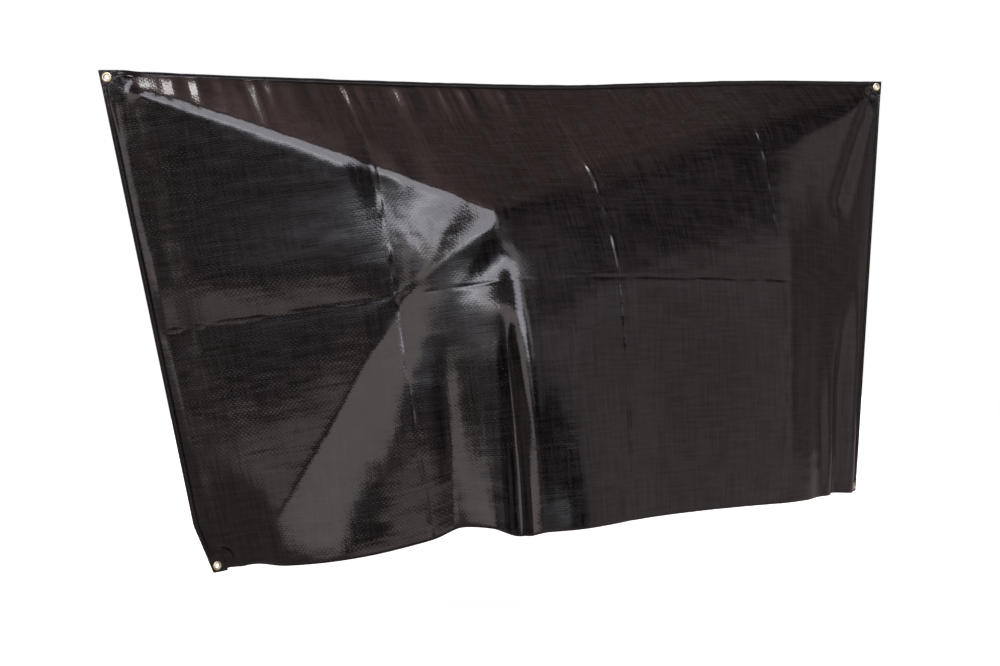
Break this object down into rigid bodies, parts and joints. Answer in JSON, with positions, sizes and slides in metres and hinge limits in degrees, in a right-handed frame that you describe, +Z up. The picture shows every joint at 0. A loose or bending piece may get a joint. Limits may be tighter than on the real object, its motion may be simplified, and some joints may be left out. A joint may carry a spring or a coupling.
{
  "type": "bicycle cover",
  "caption": "Glossy dark tarpaulin cover with welded edges and brass corner eyelets, open below, hanging as draped over bicycles.",
  "frame": {"origin": "under the top seam at its middle, where the cover rests on what carries it", "axes": "+X along the top seam to the right, -Y towards the front panel, +Z up"},
  "size_m": [2.1036, 0.9636, 1.1131],
  "materials": {
    "tarpaulin": "glossy laminated woven polyethylene, nearly black",
    "seam_band": "two welded layers of the same tarpaulin, slightly duller",
    "brass": "polished brass"
  },
  "bodies": {
    "root": {"front_panel": "tarpaulin", "back_panel": "tarpaulin", "top_seam": "seam_band", "side_seam_left": "seam_band", "eyelet_top_left": "brass", "eyelet_bottom_left": "brass", "side_seam_right": "seam_band", "eyelet_top_right": "brass", "eyelet_bottom_right": "brass"}
  },
  "joints": []
}
